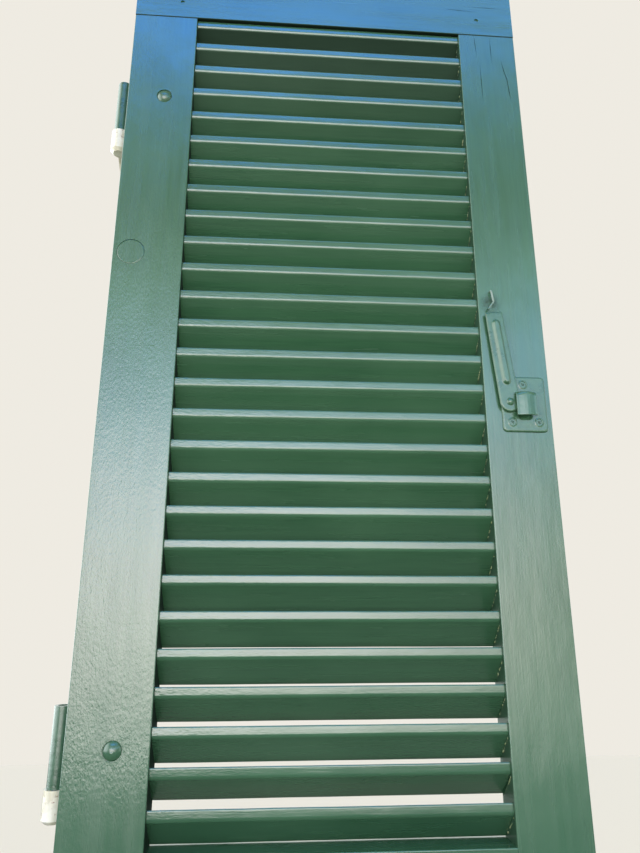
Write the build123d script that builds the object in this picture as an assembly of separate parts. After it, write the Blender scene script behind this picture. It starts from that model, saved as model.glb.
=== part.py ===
from build123d import *
import math
import os

# A louvred window shutter leaf of painted wood, folded back against the wall, with its two
# hinges, the two wall pintles that carry it and the turning latch on its meeting stile.
# Sizes are millimetres. X runs along the wall, Y into the wall and Z up, and the leaf's front
# faces -Y. The origin is the middle of the lower wall plate's back face.

# Frame of the leaf
leaf_width = 560.0
leaf_thickness = 38.0
hinge_stile_width = 89.0
meeting_stile_width = 84.0
top_rail_height = 95.0
bottom_rail_height = 137.4
arris_radius = 1.2

# Louvre slats, let into slanted housings in the stiles
slat_count = 27
slat_pitch = 39.6
slat_thickness = 9.0
slat_slope = 43.3
slat_nose_radius = 1.5
slat_rear_radius = 0.6
slat_front_recess = 4.5
slat_back_recess = 1.6
first_slat_gap = 0.6
last_slat_gap = 0.8
housing_depth = 9.0
housing_fit = 0.2
slat_end_gap = 0.3

# Mortice and tenon joints
tenon_thickness = 12.0
rail_tenon_length = 60.0
rail_tenon_shoulder = 20.0
stile_tenon_length = 62.0
stile_tenon_shoulder = 12.0
joint_fit = 0.15
mortice_end_gap = 0.5

# Nails that lock the stile tenons in the top rail
nail_head_radius = 3.0
nail_head_thickness = 1.2
nail_head_sink = 1.5
nail_shank_radius = 1.6
nail_length = 32.0
nail_tip_length = 4.0
tip_radius = 0.3
nail_rise = 28.0
hinge_nail_inset = 66.0
meeting_nail_inset = 55.0

# Round wooden plug in the hinge stile
plug_radius = 17.5
plug_depth = 8.0
plug_inset = 23.0
plug_drop = 386.0

# Hinge straps, on the back of the hinge stile
hinge_inset = 235.5
strap_thickness = 3.5
strap_height = 80.0
strap_length = 76.0
strap_corner_radius = 9.0
knuckle_height = 82.0
knuckle_seam = 0.5
edge_to_pin = 13.0

# Pintle pins and wall plates
pin_radius = 6.0
pin_fit = 0.05
pin_top_drop = 3.0
pin_chamfer = 1.5
seam_start = 1.2
pintle_gap = 0.3
barrel_radius = 12.0
barrel_height = 33.0
barrel_bottom_chamfer = 4.0
barrel_floor = 5.0
wall_to_pin = 38.0
arm_thickness = 10.0
arm_barrel_height = 24.0
arm_plate_height = 44.0
plate_width = 40.0
plate_height = 92.0
plate_thickness = 5.0
plate_corner_radius = 6.0
plate_hole_spacing = 66.0
plate_hole_radius = 3.5
plate_sink_radius = 6.6

# Carriage bolts with their washers and nuts
bolt_inset = 50.0
bolt_radius = 4.0
bolt_fit = 0.1
bolt_head_radius = 10.0
bolt_head_height = 4.6
bolt_head_sink = 1.2
bolt_sink_fit = 0.6
bolt_neck_width = 8.4
bolt_neck_length = 4.5
bolt_end = 3.0
bolt_end_chamfer = 0.5
washer_radius = 8.5
washer_thickness = 1.6
nut_width = 13.0
nut_height = 6.5

# Wood screws
screw_head_radius = 4.2
screw_head_height = 2.3
screw_shank_radius = 2.0
screw_length = 25.0
screw_tip_length = 5.0
screw_fit = 0.08
strap_screw_inset = 20.0
strap_screw_spread = 26.0

# Latch plate with its lanced hood
latch_height = 626.0
latch_plate_inset = 35.0
latch_plate_width = 58.0
latch_plate_height = 73.0
latch_plate_thickness = 2.5
latch_plate_radius = 6.0
latch_plate_chamfer = 0.5
latch_screw_spread = 17.0
latch_screw_rise = 25.5
latch_screw_drop = 24.0
hood_width = 26.0
hood_root_width = 18.5
hood_top_rise = 14.0
hood_height = 31.0
hood_crown = 11.4
hood_shoulder = 9.4
hood_lip = 10.4
hood_corner_radius = 5.0
hood_bend_radius = 4.5
hood_root_bend_radius = 2.0
hood_face_bend_radius = 13.5
hood_crown_drop = 18.6

# Latch lever, pressed from sheet with a hollow rib, and its shouldered rivet
rivet_offset = 19.0
rivet_rise = 1.5
lever_thickness = 2.5
lever_eye_radius = 13.0
lever_length = 123.0
lever_tip_width = 23.0
lever_tip_radius = 2.5
lever_tilt = 5.8
rib_width = 12.0
rib_height = 3.0
rib_start = 22.0
rib_end = 112.0
rib_taper = 24.0
rib_edge_radius = 1.2
rib_wall = 2.0
rivet_radius = 3.0
rivet_fit = 0.06
rivet_shoulder_radius = 7.0
rivet_shoulder_height = 1.5
rivet_head_radius = 5.0
rivet_head_height = 2.4
lever_play = 0.2

# Bent nail that keeps the lever up
keeper_radius = 1.2
keeper_depth = 14.0
keeper_fit = 0.05
keeper_bend_radius = 2.4
keeper_foot = (-13.0, 154.0)
keeper_knee = (-11.3, 137.0)
keeper_tip = (-18.6, 126.6)
keeper_foot_stand = 4.5
keeper_knee_stand = 6.0
keeper_tip_stand = 5.2

# Drying cracks, tapered at both ends. Each place is left of the leaf's right edge and above
# the joint between the top rail and the stiles.
crack_width = 0.9
crack_depth = 2.5
stile_cracks = [
    [(-60.6, -2.0), (-59.6, -21.0), (-58.4, -40.0)],
    [(-54.8, -48.0), (-54.6, -90.0), (-54.2, -128.0)],
    [(-37.0, -2.0), (-36.7, -26.0), (-36.3, -51.0)],
    [(-22.4, -44.0), (-19.7, -63.0), (-15.7, -79.0), (-14.3, -100.0), (-11.7, -120.0)]]
rail_cracks = [
    [(-62.3, 53.0), (-37.3, 53.4), (-14.7, 52.4)],
    [(-105.7, 47.0), (-82.6, 45.6), (-48.7, 43.5)]]

# Places worked out from the sizes above
knuckle_radius = pin_radius + pin_fit + strap_thickness
pin_x = (arm_thickness - plate_width) / 2
pin_y = -wall_to_pin
leaf_left = pin_x + edge_to_pin
leaf_right = leaf_left + leaf_width
opening_left = leaf_left + hinge_stile_width
opening_right = leaf_right - meeting_stile_width
leaf_back = pin_y + knuckle_radius - strap_thickness
leaf_front = leaf_back - leaf_thickness
leaf_middle = (leaf_front + leaf_back) / 2

slope = math.radians(slat_slope)
slat_run = leaf_thickness - slat_front_recess - slat_back_recess
slat_edge_height = slat_thickness / math.cos(slope)
slat_fall = slat_run * math.tan(slope)
acute_tangent = 1 / math.tan((math.pi / 2 - slope) / 2)
nose_loss = slat_nose_radius * (acute_tangent - 1)
rear_loss = slat_rear_radius * (acute_tangent - 1)
slat_height = slat_edge_height + slat_fall - nose_loss - rear_loss
opening_height = first_slat_gap + (slat_count - 1) * slat_pitch + slat_height + last_slat_gap
leaf_height = top_rail_height + opening_height + bottom_rail_height

lower_knuckle_z = barrel_height / 2 + pintle_gap + knuckle_height / 2
leaf_bottom = lower_knuckle_z - hinge_inset
leaf_top = leaf_bottom + leaf_height
upper_knuckle_z = leaf_top - hinge_inset
pintle_spacing = upper_knuckle_z - lower_knuckle_z
opening_bottom = leaf_bottom + bottom_rail_height
opening_top = leaf_top - top_rail_height

latch_x = leaf_right - latch_plate_inset
latch_z = leaf_bottom + latch_height
rivet_x = latch_x - rivet_offset
rivet_z = latch_z + rivet_rise
lever_stand = latch_plate_thickness + rivet_shoulder_height + lever_play
bolt_x = leaf_left + bolt_inset
strap_screw_x = leaf_left + strap_screw_inset


def block(x0, x1, y0, y1, z0, z1):
    """A box between two corners."""
    middle = Pos((x0 + x1) / 2, (y0 + y1) / 2, (z0 + z1) / 2)
    return middle * Box(x1 - x0, y1 - y0, z1 - z0)


def on_front(x, z, stand=0.0):
    """A place on the leaf's front, with local Z standing out of the wood and local Y up."""
    return Pos(x, leaf_front - stand, z) * Rot(90, 0, 0)


def on_back(x, z, stand=0.0):
    """A place on the leaf's back, with local Z standing out towards the wall."""
    return Pos(x, leaf_back + stand, z) * Rot(-90, 0, 0)


def rod(radius, low, high):
    """A round bar on local Z between two heights."""
    return Pos(0, 0, low) * Cylinder(radius, high - low, align=(Align.CENTER, Align.CENTER, Align.MIN))


def dome(radius, height):
    """A low button dome standing on local Z = 0."""
    ball_radius = (radius**2 + height**2) / (2 * height)
    ball = Pos(0, 0, height - ball_radius) * Sphere(ball_radius)
    return ball & rod(radius, 0, height)


def upright(x0, x1, z0, z1):
    """A stile blank with eased long edges."""
    section = Rectangle(x1 - x0, leaf_thickness)
    section = fillet(section.vertices(), arris_radius)
    return Pos((x0 + x1) / 2, leaf_middle, z0) * extrude(section, z1 - z0)


def cross_rail(x0, x1, z0, z1):
    """A rail blank with eased long edges."""
    section = Rectangle(leaf_thickness, z1 - z0)
    section = fillet(section.vertices(), arris_radius)
    return Pos(x0, leaf_middle, (z0 + z1) / 2) * extrude(Plane.YZ * section, x1 - x0)


def slat_outline(nose_z, fit=0.0):
    """A slat's slanted section, seen along X and not yet rounded, grown all round by a clearance."""
    front = leaf_front + slat_front_recess - fit
    back = leaf_back - slat_back_recess + fit
    top = nose_z + fit / math.cos(slope) + fit * math.tan(slope)
    edge = slat_edge_height + 2 * fit / math.cos(slope)
    fall = (back - front) * math.tan(slope)
    corners = [(front, top), (front, top - edge), (back, top - edge - fall), (back, top - fall)]
    return make_face(Polyline(*corners, close=True))


def slat_nose_z(index):
    """The height of a slat's front top corner before its edge is rounded."""
    return opening_top - first_slat_gap + nose_loss - index * slat_pitch


def make_slat(index):
    section = slat_outline(slat_nose_z(index))
    section = fillet(section.vertices().group_by(Axis.X)[0], slat_nose_radius)
    section = fillet(section.vertices().group_by(Axis.X)[-1], slat_rear_radius)
    tongue = housing_depth - slat_end_gap
    length = opening_right - opening_left + 2 * tongue
    return Pos(opening_left - tongue, 0, 0) * extrude(Plane.YZ * section, length)


def slat_housings(deep_x):
    """The slanted slots for all slats in one stile, from their deep end on."""
    slots = []
    for index in range(slat_count):
        section = Plane.YZ * slat_outline(slat_nose_z(index), housing_fit)
        slots.append(Pos(deep_x, 0, 0) * extrude(section, housing_depth + arris_radius))
    return slots


def tenon(x0, x1, z0, z1, fit=0.0):
    """A tenon, or its mortice when grown by a clearance, in the middle of the thickness."""
    half = tenon_thickness / 2 + fit
    return block(x0 - fit, x1 + fit, leaf_middle - half, leaf_middle + half, z0 - fit, z1 + fit)


def stile_tenon(x0, x1, fit=0.0, extra=0.0):
    inner = (x0 + stile_tenon_shoulder, x1 - stile_tenon_shoulder)
    return tenon(*inner, opening_top - fit, opening_top + stile_tenon_length + extra - fit, fit)


def rail_tenons(fit=0.0, extra=0.0):
    reach = rail_tenon_length + extra
    low = leaf_bottom + rail_tenon_shoulder
    high = opening_bottom - rail_tenon_shoulder
    return tenon(opening_left - reach, opening_right + reach, low, high, fit)


def nail_places():
    height = opening_top + nail_rise
    return [(leaf_left + hinge_nail_inset, height), (leaf_right - meeting_nail_inset, height)]


def make_nail():
    """A round nail with its head at local Z = 0 and its shank going down."""
    straight = nail_length - nail_tip_length
    head = rod(nail_head_radius, -nail_head_thickness, 0)
    shank = rod(nail_shank_radius, -straight, 0)
    tip = Cone(tip_radius, nail_shank_radius, nail_tip_length)
    return head + shank + Pos(0, 0, -straight - nail_tip_length / 2) * tip


def nail_hole():
    sink = rod(nail_head_radius + screw_fit, -nail_head_thickness, leaf_thickness)
    return sink + rod(nail_shank_radius + screw_fit, -nail_length, 0)


def place_nails(shape):
    return [on_front(x, z, -nail_head_sink) * shape for x, z in nail_places()]


def make_screw():
    """A countersunk wood screw, its head's face at local Z = 0."""
    straight = screw_length - screw_tip_length
    cone = Pos(0, 0, -screw_head_height / 2) * Cone(screw_shank_radius, screw_head_radius, screw_head_height)
    shank = rod(screw_shank_radius, -straight, -screw_head_height / 2)
    tip = Cone(tip_radius, screw_shank_radius, screw_tip_length)
    return cone + shank + Pos(0, 0, -straight - screw_tip_length / 2) * tip


def screw_hole():
    """The countersunk hole that such a screw fills, open above."""
    grow = screw_fit
    cone = Pos(0, 0, -screw_head_height / 2) * Cone(
        screw_shank_radius + grow, screw_head_radius + grow, screw_head_height)
    mouth = rod(screw_head_radius + grow, 0, screw_head_height)
    return cone + mouth + rod(screw_shank_radius + grow, -screw_length - grow, 0)


def place_strap_screws(shape):
    places = []
    for height in (lower_knuckle_z, upper_knuckle_z):
        for side in (-1, 1):
            places.append(on_back(strap_screw_x, height + side * strap_screw_spread, strap_thickness))
    return [place * shape for place in places]


def place_latch_screws(shape):
    low = latch_z - latch_screw_drop
    spots = [(latch_x, latch_z + latch_screw_rise), (latch_x - latch_screw_spread, low),
             (latch_x + latch_screw_spread, low)]
    return [on_front(x, z, latch_plate_thickness) * shape for x, z in spots]


def make_carriage_bolt():
    """A carriage bolt with the underside of its head at local Z = 0."""
    length = leaf_thickness - bolt_head_sink + strap_thickness + washer_thickness + nut_height + bolt_end
    head = dome(bolt_head_radius, bolt_head_height)
    neck = Pos(0, 0, -bolt_neck_length / 2) * Box(bolt_neck_width, bolt_neck_width, bolt_neck_length)
    shank = rod(bolt_radius, -length, 0)
    end = shank.faces().sort_by(Axis.Z)[0]
    return head + neck + chamfer(end.edges(), bolt_end_chamfer)


def bolt_hole():
    """The hole, square seat and shallow head recess for a carriage bolt."""
    width = bolt_neck_width + 2 * bolt_fit
    depth = bolt_neck_length + bolt_fit
    seat = Pos(0, 0, -depth / 2) * Box(width, width, depth)
    recess = rod(bolt_head_radius + bolt_sink_fit, 0, bolt_head_height)
    return seat + recess + rod(bolt_radius + bolt_fit, -2 * leaf_thickness, 0)


def place_bolts(shape):
    return [on_front(bolt_x, z, -bolt_head_sink) * shape for z in (lower_knuckle_z, upper_knuckle_z)]


def make_washer():
    return rod(washer_radius, 0, washer_thickness) - rod(bolt_radius + 2 * bolt_fit, -1, washer_thickness + 1)


def make_nut():
    """A hexagon nut with eased corners, standing on local Z = 0."""
    corner = nut_width / math.sqrt(3)
    hexagon = extrude(RegularPolygon(corner, 6), nut_height)
    crown = Pos(0, 0, nut_height / 2) * Cylinder(corner, nut_height)
    crown = chamfer(crown.edges(), corner - nut_width / 2)
    return (hexagon & crown) - rod(bolt_radius + bolt_fit, -1, nut_height + 1)


def place_on_straps(shape, stand):
    return [on_back(bolt_x, z, stand) * shape for z in (lower_knuckle_z, upper_knuckle_z)]


def plug_place():
    return on_front(leaf_left + plug_inset, opening_top - plug_drop, 0)


def crack_cutter(places):
    """A thin upright cutter that follows a crack and comes to a point at both ends."""
    line = [Vector(leaf_right + x, opening_top + z) for x, z in places]
    side = (line[-1] - line[0]).normalized().rotate(Axis.Z, 90) * crack_width / 2
    inner = line[1:-1]
    outline = [line[0]] + [point + side for point in inner] + [line[-1]]
    outline += [point - side for point in reversed(inner)]
    face = make_face(Polyline(*outline, close=True))
    return on_front(0, 0, -crack_depth) * extrude(face, 2 * crack_depth)


def make_hinge_stile():
    stile = upright(leaf_left, opening_left, leaf_bottom, opening_top)
    stile += stile_tenon(leaf_left, opening_left)
    stile -= slat_housings(opening_left - housing_depth)
    stile -= rail_tenons(joint_fit, mortice_end_gap)
    stile -= plug_place() * rod(plug_radius + joint_fit, -plug_depth - joint_fit, plug_depth)
    stile -= place_bolts(bolt_hole())
    stile -= place_strap_screws(screw_hole())
    return stile - place_nails(nail_hole())


def make_meeting_stile():
    stile = upright(opening_right, leaf_right, leaf_bottom, opening_top)
    stile += stile_tenon(opening_right, leaf_right)
    stile -= slat_housings(opening_right - arris_radius)
    stile -= rail_tenons(joint_fit, mortice_end_gap)
    stile -= place_latch_screws(screw_hole())
    stile -= sweep_keeper(keeper_radius + keeper_fit)
    stile -= [crack_cutter(places) for places in stile_cracks]
    return stile - place_nails(nail_hole())


def make_top_rail():
    rail = cross_rail(leaf_left, leaf_right, opening_top, leaf_top)
    rail -= stile_tenon(leaf_left, opening_left, joint_fit, mortice_end_gap)
    rail -= stile_tenon(opening_right, leaf_right, joint_fit, mortice_end_gap)
    rail -= [crack_cutter(places) for places in rail_cracks]
    return rail - place_nails(nail_hole())


def make_bottom_rail():
    return cross_rail(opening_left, opening_right, leaf_bottom, opening_bottom) + rail_tenons()


def make_plug():
    return plug_place() * rod(plug_radius, -plug_depth, 0)


def make_hinge_strap(height):
    """A strap whose end is rolled into the knuckle, with the seam of the roll left open."""
    low = height - knuckle_height / 2
    ring = Pos(pin_x, pin_y, low) * rod(knuckle_radius, 0, knuckle_height)
    outer = leaf_back + strap_thickness
    end = leaf_left + strap_length
    plate = block(pin_x, end, leaf_back, outer, height - strap_height / 2, height + strap_height / 2)
    free_edges = plate.edges().filter_by(Axis.Y).group_by(Axis.X)[-1]
    strap = ring + fillet(free_edges, strap_corner_radius)
    strap -= Pos(pin_x, pin_y, low) * rod(pin_radius + pin_fit, -1, knuckle_height + 1)
    strap -= block(pin_x + seam_start, leaf_left, leaf_back - knuckle_seam, leaf_back,
                   low - 1, low + knuckle_height + 1)
    strap -= place_strap_screws(screw_hole())
    return strap - place_bolts(bolt_hole())


def make_pintle(height):
    """A wall plate with the arm and the barrel that holds the pin."""
    barrel = Pos(pin_x, pin_y, 0) * Cylinder(barrel_radius, barrel_height)
    barrel = chamfer(barrel.faces().sort_by(Axis.Z)[0].edges(), barrel_bottom_chamfer)
    barrel_top = barrel_height / 2
    in_plate = -plate_thickness / 2
    profile = [(pin_y, barrel_top - pintle_gap), (in_plate, barrel_top - pintle_gap),
               (in_plate, barrel_top - arm_plate_height),
               (pin_y + barrel_radius, barrel_top - arm_barrel_height),
               (pin_y, barrel_top - arm_barrel_height)]
    web = make_face(Polyline(*profile, close=True))
    arm = Pos(pin_x - arm_thickness / 2, 0, 0) * extrude(Plane.YZ * web, arm_thickness)
    plate = Rectangle(plate_width, plate_height)
    plate = fillet(plate.vertices(), plate_corner_radius)
    plate = Rot(90, 0, 0) * extrude(plate, plate_thickness)
    pintle = barrel + arm + plate
    bore_low = barrel_floor - barrel_height / 2
    pintle -= Pos(pin_x, pin_y, 0) * rod(pin_radius + pin_fit / 2, bore_low, barrel_height)
    for side in (-1, 1):
        hole = rod(plate_hole_radius, -1, plate_thickness + 1)
        sink_height = plate_sink_radius - plate_hole_radius
        sink = Cone(plate_hole_radius, plate_sink_radius, sink_height)
        hole += Pos(0, 0, plate_thickness - sink_height / 2) * sink
        pintle -= Pos(0, 0, side * plate_hole_spacing / 2) * Rot(90, 0, 0) * hole
    return Pos(0, 0, height) * pintle


def make_pintle_pin(height):
    """The pin, from the floor of the barrel's bore to just below the top of the knuckle."""
    low = barrel_floor - barrel_height / 2
    high = barrel_height / 2 + pintle_gap + knuckle_height - pin_top_drop
    pin = rod(pin_radius, low, high)
    pin = chamfer(pin.faces().sort_by(Axis.Z)[-1].edges(), pin_chamfer)
    return Pos(pin_x, pin_y, height) * pin


def hood_line(centre):
    """The bent centre line of the hood, from the plate out and down, as stand and height."""
    top = hood_top_rise - latch_plate_thickness / 2
    points = [(centre, top + hood_face_bend_radius), (centre, top), (hood_shoulder, top),
              (hood_crown, hood_top_rise - hood_crown_drop), (hood_lip, hood_top_rise - hood_height)]
    radii = [hood_root_bend_radius, hood_bend_radius, hood_face_bend_radius]
    return FilletPolyline(*points, radius=radii)


def make_hood():
    """The hood in the plate's local place: X right, Y up and Z out of the wood."""
    strip = trace(hood_line(latch_plate_thickness / 2), latch_plate_thickness)
    upright_plane = Plane(origin=(0, 0, 0), x_dir=(0, 0, 1), z_dir=(-1, 0, 0))
    solid = Pos(hood_width / 2, 0, 0) * extrude(upright_plane * strip, hood_width)
    outline = Pos(0, hood_top_rise - hood_height / 2) * Rectangle(hood_width, hood_height)
    outline = fillet(outline.vertices().group_by(Axis.Y)[0], hood_corner_radius)
    hood = solid & extrude(outline, hood_crown + latch_plate_thickness)
    wing_clear = lever_stand + lever_thickness + 3 * lever_play
    slot_right = hood_width / 2 - hood_root_width
    return hood - block(-hood_width, slot_right, -hood_height, hood_top_rise + 1, 0, wing_clear)


def make_latch_plate():
    """The screw plate with the window that the hood was cut and raised from."""
    plate = Rectangle(latch_plate_width, latch_plate_height)
    plate = extrude(fillet(plate.vertices(), latch_plate_radius), latch_plate_thickness)
    front_edges = plate.edges().group_by(Axis.Z)[-1]
    plate = chamfer(front_edges, latch_plate_chamfer)
    window_top = hood_top_rise - latch_plate_thickness
    window = Pos(hood_width / 2 - hood_root_width / 2, window_top - hood_height / 2)
    window *= Rectangle(hood_root_width, hood_height)
    window = fillet(window.vertices().group_by(Axis.Y)[0], hood_corner_radius)
    plate -= Pos(0, 0, -1) * extrude(window, latch_plate_thickness + 2)
    plate += make_hood()
    plate -= Pos(-rivet_offset, rivet_rise, 0) * rod(rivet_radius + rivet_fit, -1, latch_plate_thickness + 1)
    return on_front(latch_x, latch_z) * plate - place_latch_screws(screw_hole())


def make_latch_lever():
    """A flat lever with a round eye, a square tip and a hollow pressed rib."""
    tip_x = lever_tip_width / 2 - lever_tip_radius
    tip_y = lever_length - lever_tip_radius
    rounds = [Circle(lever_eye_radius), Pos(tip_x, tip_y) * Circle(lever_tip_radius),
              Pos(-tip_x, tip_y) * Circle(lever_tip_radius)]
    outline = make_hull([edge for each in rounds for edge in each.edges()])
    lever = extrude(outline, lever_thickness)
    rib_place = Pos(0, (rib_start + rib_end) / 2, lever_thickness) * Rot(0, 0, 90)
    rib = extrude(SlotOverall(rib_end - rib_start, rib_width), rib_height, taper=rib_taper)
    rib = fillet(rib.faces().sort_by(Axis.Z)[-1].edges(), rib_edge_radius)
    inner = SlotOverall(rib_end - rib_start - 2 * rib_wall, rib_width - 2 * rib_wall)
    hollow = extrude(inner, lever_thickness + rib_height - rib_wall, taper=rib_taper / 2)
    lever += rib_place * rib
    lever -= rib_place * Pos(0, 0, -lever_thickness) * hollow
    lever -= rod(rivet_radius + rivet_fit, -1, lever_thickness + 1)
    return on_front(rivet_x, rivet_z, lever_stand) * Rot(0, 0, lever_tilt) * lever


def make_rivet():
    """The rivet: shank in the plate, shoulder below the lever, journal in it and a domed head."""
    shoulder_top = latch_plate_thickness + rivet_shoulder_height
    head_low = lever_stand + lever_thickness + lever_play
    shank = rod(rivet_radius, 0, head_low + rivet_head_height / 2)
    shoulder = rod(rivet_shoulder_radius, latch_plate_thickness, shoulder_top)
    head = Pos(0, 0, head_low) * dome(rivet_head_radius, rivet_head_height)
    return on_front(rivet_x, rivet_z) * (shank + shoulder + head)


def sweep_keeper(radius):
    """A nail driven beside the lever's tip and bent over above it."""
    def point(place, stand):
        return (rivet_x + place[0], leaf_front - stand, rivet_z + place[1])
    points = [point(keeper_foot, -keeper_depth), point(keeper_foot, keeper_foot_stand),
              point(keeper_knee, keeper_knee_stand), point(keeper_tip, keeper_tip_stand)]
    path = FilletPolyline(*points, radius=keeper_bend_radius)
    start = Plane(origin=path @ 0, z_dir=path % 0)
    return sweep(start * Circle(radius), path)


def make_all():
    """Every sub-part by name."""
    parts = {}
    parts["hinge_stile"] = make_hinge_stile()
    parts["meeting_stile"] = make_meeting_stile()
    parts["top_rail"] = make_top_rail()
    parts["bottom_rail"] = make_bottom_rail()
    for index in range(slat_count):
        parts[f"slat_{index + 1:02d}"] = make_slat(index)
    parts["stile_plug"] = make_plug()
    parts["rail_nails"] = place_nails(make_nail())
    parts["lower_hinge_strap"] = make_hinge_strap(lower_knuckle_z)
    parts["upper_hinge_strap"] = make_hinge_strap(upper_knuckle_z)
    parts["strap_screws"] = place_strap_screws(make_screw())
    parts["carriage_bolts"] = place_bolts(make_carriage_bolt())
    parts["bolt_washers"] = place_on_straps(make_washer(), strap_thickness)
    parts["bolt_nuts"] = place_on_straps(make_nut(), strap_thickness + washer_thickness)
    parts["lower_pintle"] = make_pintle(0.0)
    parts["upper_pintle"] = make_pintle(pintle_spacing)
    parts["lower_pintle_pin"] = make_pintle_pin(0.0)
    parts["upper_pintle_pin"] = make_pintle_pin(pintle_spacing)
    parts["latch_plate"] = make_latch_plate()
    parts["latch_screws"] = place_latch_screws(make_screw())
    parts["latch_rivet"] = make_rivet()
    parts["latch_lever"] = make_latch_lever()
    parts["lever_keeper"] = sweep_keeper(keeper_radius)
    return parts


os.makedirs("parts", exist_ok=True)
for name, shape in make_all().items():
    solids = shape if isinstance(shape, list) else [shape]
    bodies = [solid for each in solids for solid in each.solids()]
    whole = bodies[0] if len(bodies) == 1 else Compound(children=bodies)
    export_step(whole, f"parts/{name}.step")
    print(f"{name}: {len(bodies)} solid, volume {sum(body.volume for body in bodies):.0f} mm3")
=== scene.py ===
# %% [markdown]
# The leaf of a louvred window shutter, painted green many times over. The solids come ready
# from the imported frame. This lesson gives them their paint, models the slats and the latch with
# the small faults that paint and weather leave, and sets the camera where the photograph was
# taken.

# %% Load the frame
import math
import random

import bpy
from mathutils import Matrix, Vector


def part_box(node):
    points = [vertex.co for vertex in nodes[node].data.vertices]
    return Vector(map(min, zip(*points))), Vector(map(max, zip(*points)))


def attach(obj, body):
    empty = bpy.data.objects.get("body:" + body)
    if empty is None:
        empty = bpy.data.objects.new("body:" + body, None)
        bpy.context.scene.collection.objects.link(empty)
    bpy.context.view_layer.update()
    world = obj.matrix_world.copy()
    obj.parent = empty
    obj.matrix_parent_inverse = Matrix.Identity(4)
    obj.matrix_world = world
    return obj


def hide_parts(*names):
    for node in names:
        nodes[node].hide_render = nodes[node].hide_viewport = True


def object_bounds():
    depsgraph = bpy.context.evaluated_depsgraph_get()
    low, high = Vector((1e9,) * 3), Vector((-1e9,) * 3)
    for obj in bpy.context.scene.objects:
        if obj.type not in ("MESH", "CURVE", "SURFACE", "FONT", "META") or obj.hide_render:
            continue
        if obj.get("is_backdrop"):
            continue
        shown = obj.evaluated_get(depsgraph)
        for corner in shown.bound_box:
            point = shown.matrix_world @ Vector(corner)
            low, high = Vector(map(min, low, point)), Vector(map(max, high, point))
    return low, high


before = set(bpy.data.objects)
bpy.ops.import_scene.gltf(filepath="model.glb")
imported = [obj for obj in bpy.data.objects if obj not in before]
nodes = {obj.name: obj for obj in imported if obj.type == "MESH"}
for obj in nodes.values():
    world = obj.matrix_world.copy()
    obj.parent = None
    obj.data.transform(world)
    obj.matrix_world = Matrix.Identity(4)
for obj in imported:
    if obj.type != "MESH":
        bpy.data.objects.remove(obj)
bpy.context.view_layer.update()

# %% [markdown]
# The camera stands low in front of the leaf and looks up. Its lens is as wide as a phone's,
# which is why the leaf narrows so much towards the top.

# %% Camera
camera_place = (0.2129, -0.81875, 0.2035)
camera_rise = 15.70
camera_turn = -4.05
camera_lens = 27.01

camera_data = bpy.data.cameras.new("Photograph")
camera_data.lens = camera_lens
camera_data.sensor_width = 36.0
camera_data.clip_start = 0.01
camera = bpy.data.objects.new("Photograph", camera_data)
camera.location = camera_place
camera.rotation_euler = (math.radians(90 + camera_rise), 0, math.radians(camera_turn))
bpy.context.scene.collection.objects.link(camera)
bpy.context.scene.camera = camera
bpy.context.scene.view_settings.view_transform = "Standard"
print("camera at", camera_place)

# %% [markdown]
# Materials are built from nodes. A few small helpers keep that readable: they add a node and
# fill in its sockets, join two sockets, do a sum, and blend two colours.

# %% Node helpers
def add_node(tree, kind, sockets=None, **settings):
    made = tree.nodes.new(kind)
    for name, value in settings.items():
        setattr(made, name, value)
    for name, value in (sockets or {}).items():
        made.inputs[name].default_value = value
    return made


def join(tree, source, target):
    tree.links.new(source, target)


def set_or_join(tree, value, socket):
    """Gives a socket a fixed value, or joins it to the node that makes the value."""
    if isinstance(value, (int, float, tuple)):
        socket.default_value = value
    else:
        join(tree, value, socket)


def calculate(tree, operation, first, second):
    made = add_node(tree, "ShaderNodeMath", operation=operation)
    set_or_join(tree, first, made.inputs[0])
    set_or_join(tree, second, made.inputs[1])
    return made.outputs["Value"]


def product(tree, first, *others):
    for other in others:
        first = calculate(tree, "MULTIPLY", first, other)
    return first


def split(tree, vector):
    """The X, Y and Z of a direction or a place, each as a value of its own."""
    made = add_node(tree, "ShaderNodeSeparateXYZ")
    join(tree, vector, made.inputs["Vector"])
    return [made.outputs[axis] for axis in "XYZ"]


def blend_colours(tree, factor, first, second):
    made = add_node(tree, "ShaderNodeMix", data_type="RGBA")
    join(tree, factor, made.inputs["Factor"])
    for name, value in (("A", first), ("B", second)):
        socket = [each for each in made.inputs if each.name == name and each.type == "RGBA"][0]
        set_or_join(tree, value, socket)
    return [each for each in made.outputs if each.type == "RGBA"][0]


print("node helpers ready")

# %% [markdown]
# Gloss paint shows what stands in front of it, so most of this leaf's colour comes from the
# sky. The sky could be a picture, but a few stops by height are easier to read and to change:
# a bright band near the horizon, a darker band above it and blue above that, in front of the
# leaf and a little to the left. Plainer light comes from both sides and from behind. The camera
# itself sees a plain pale background.

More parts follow.
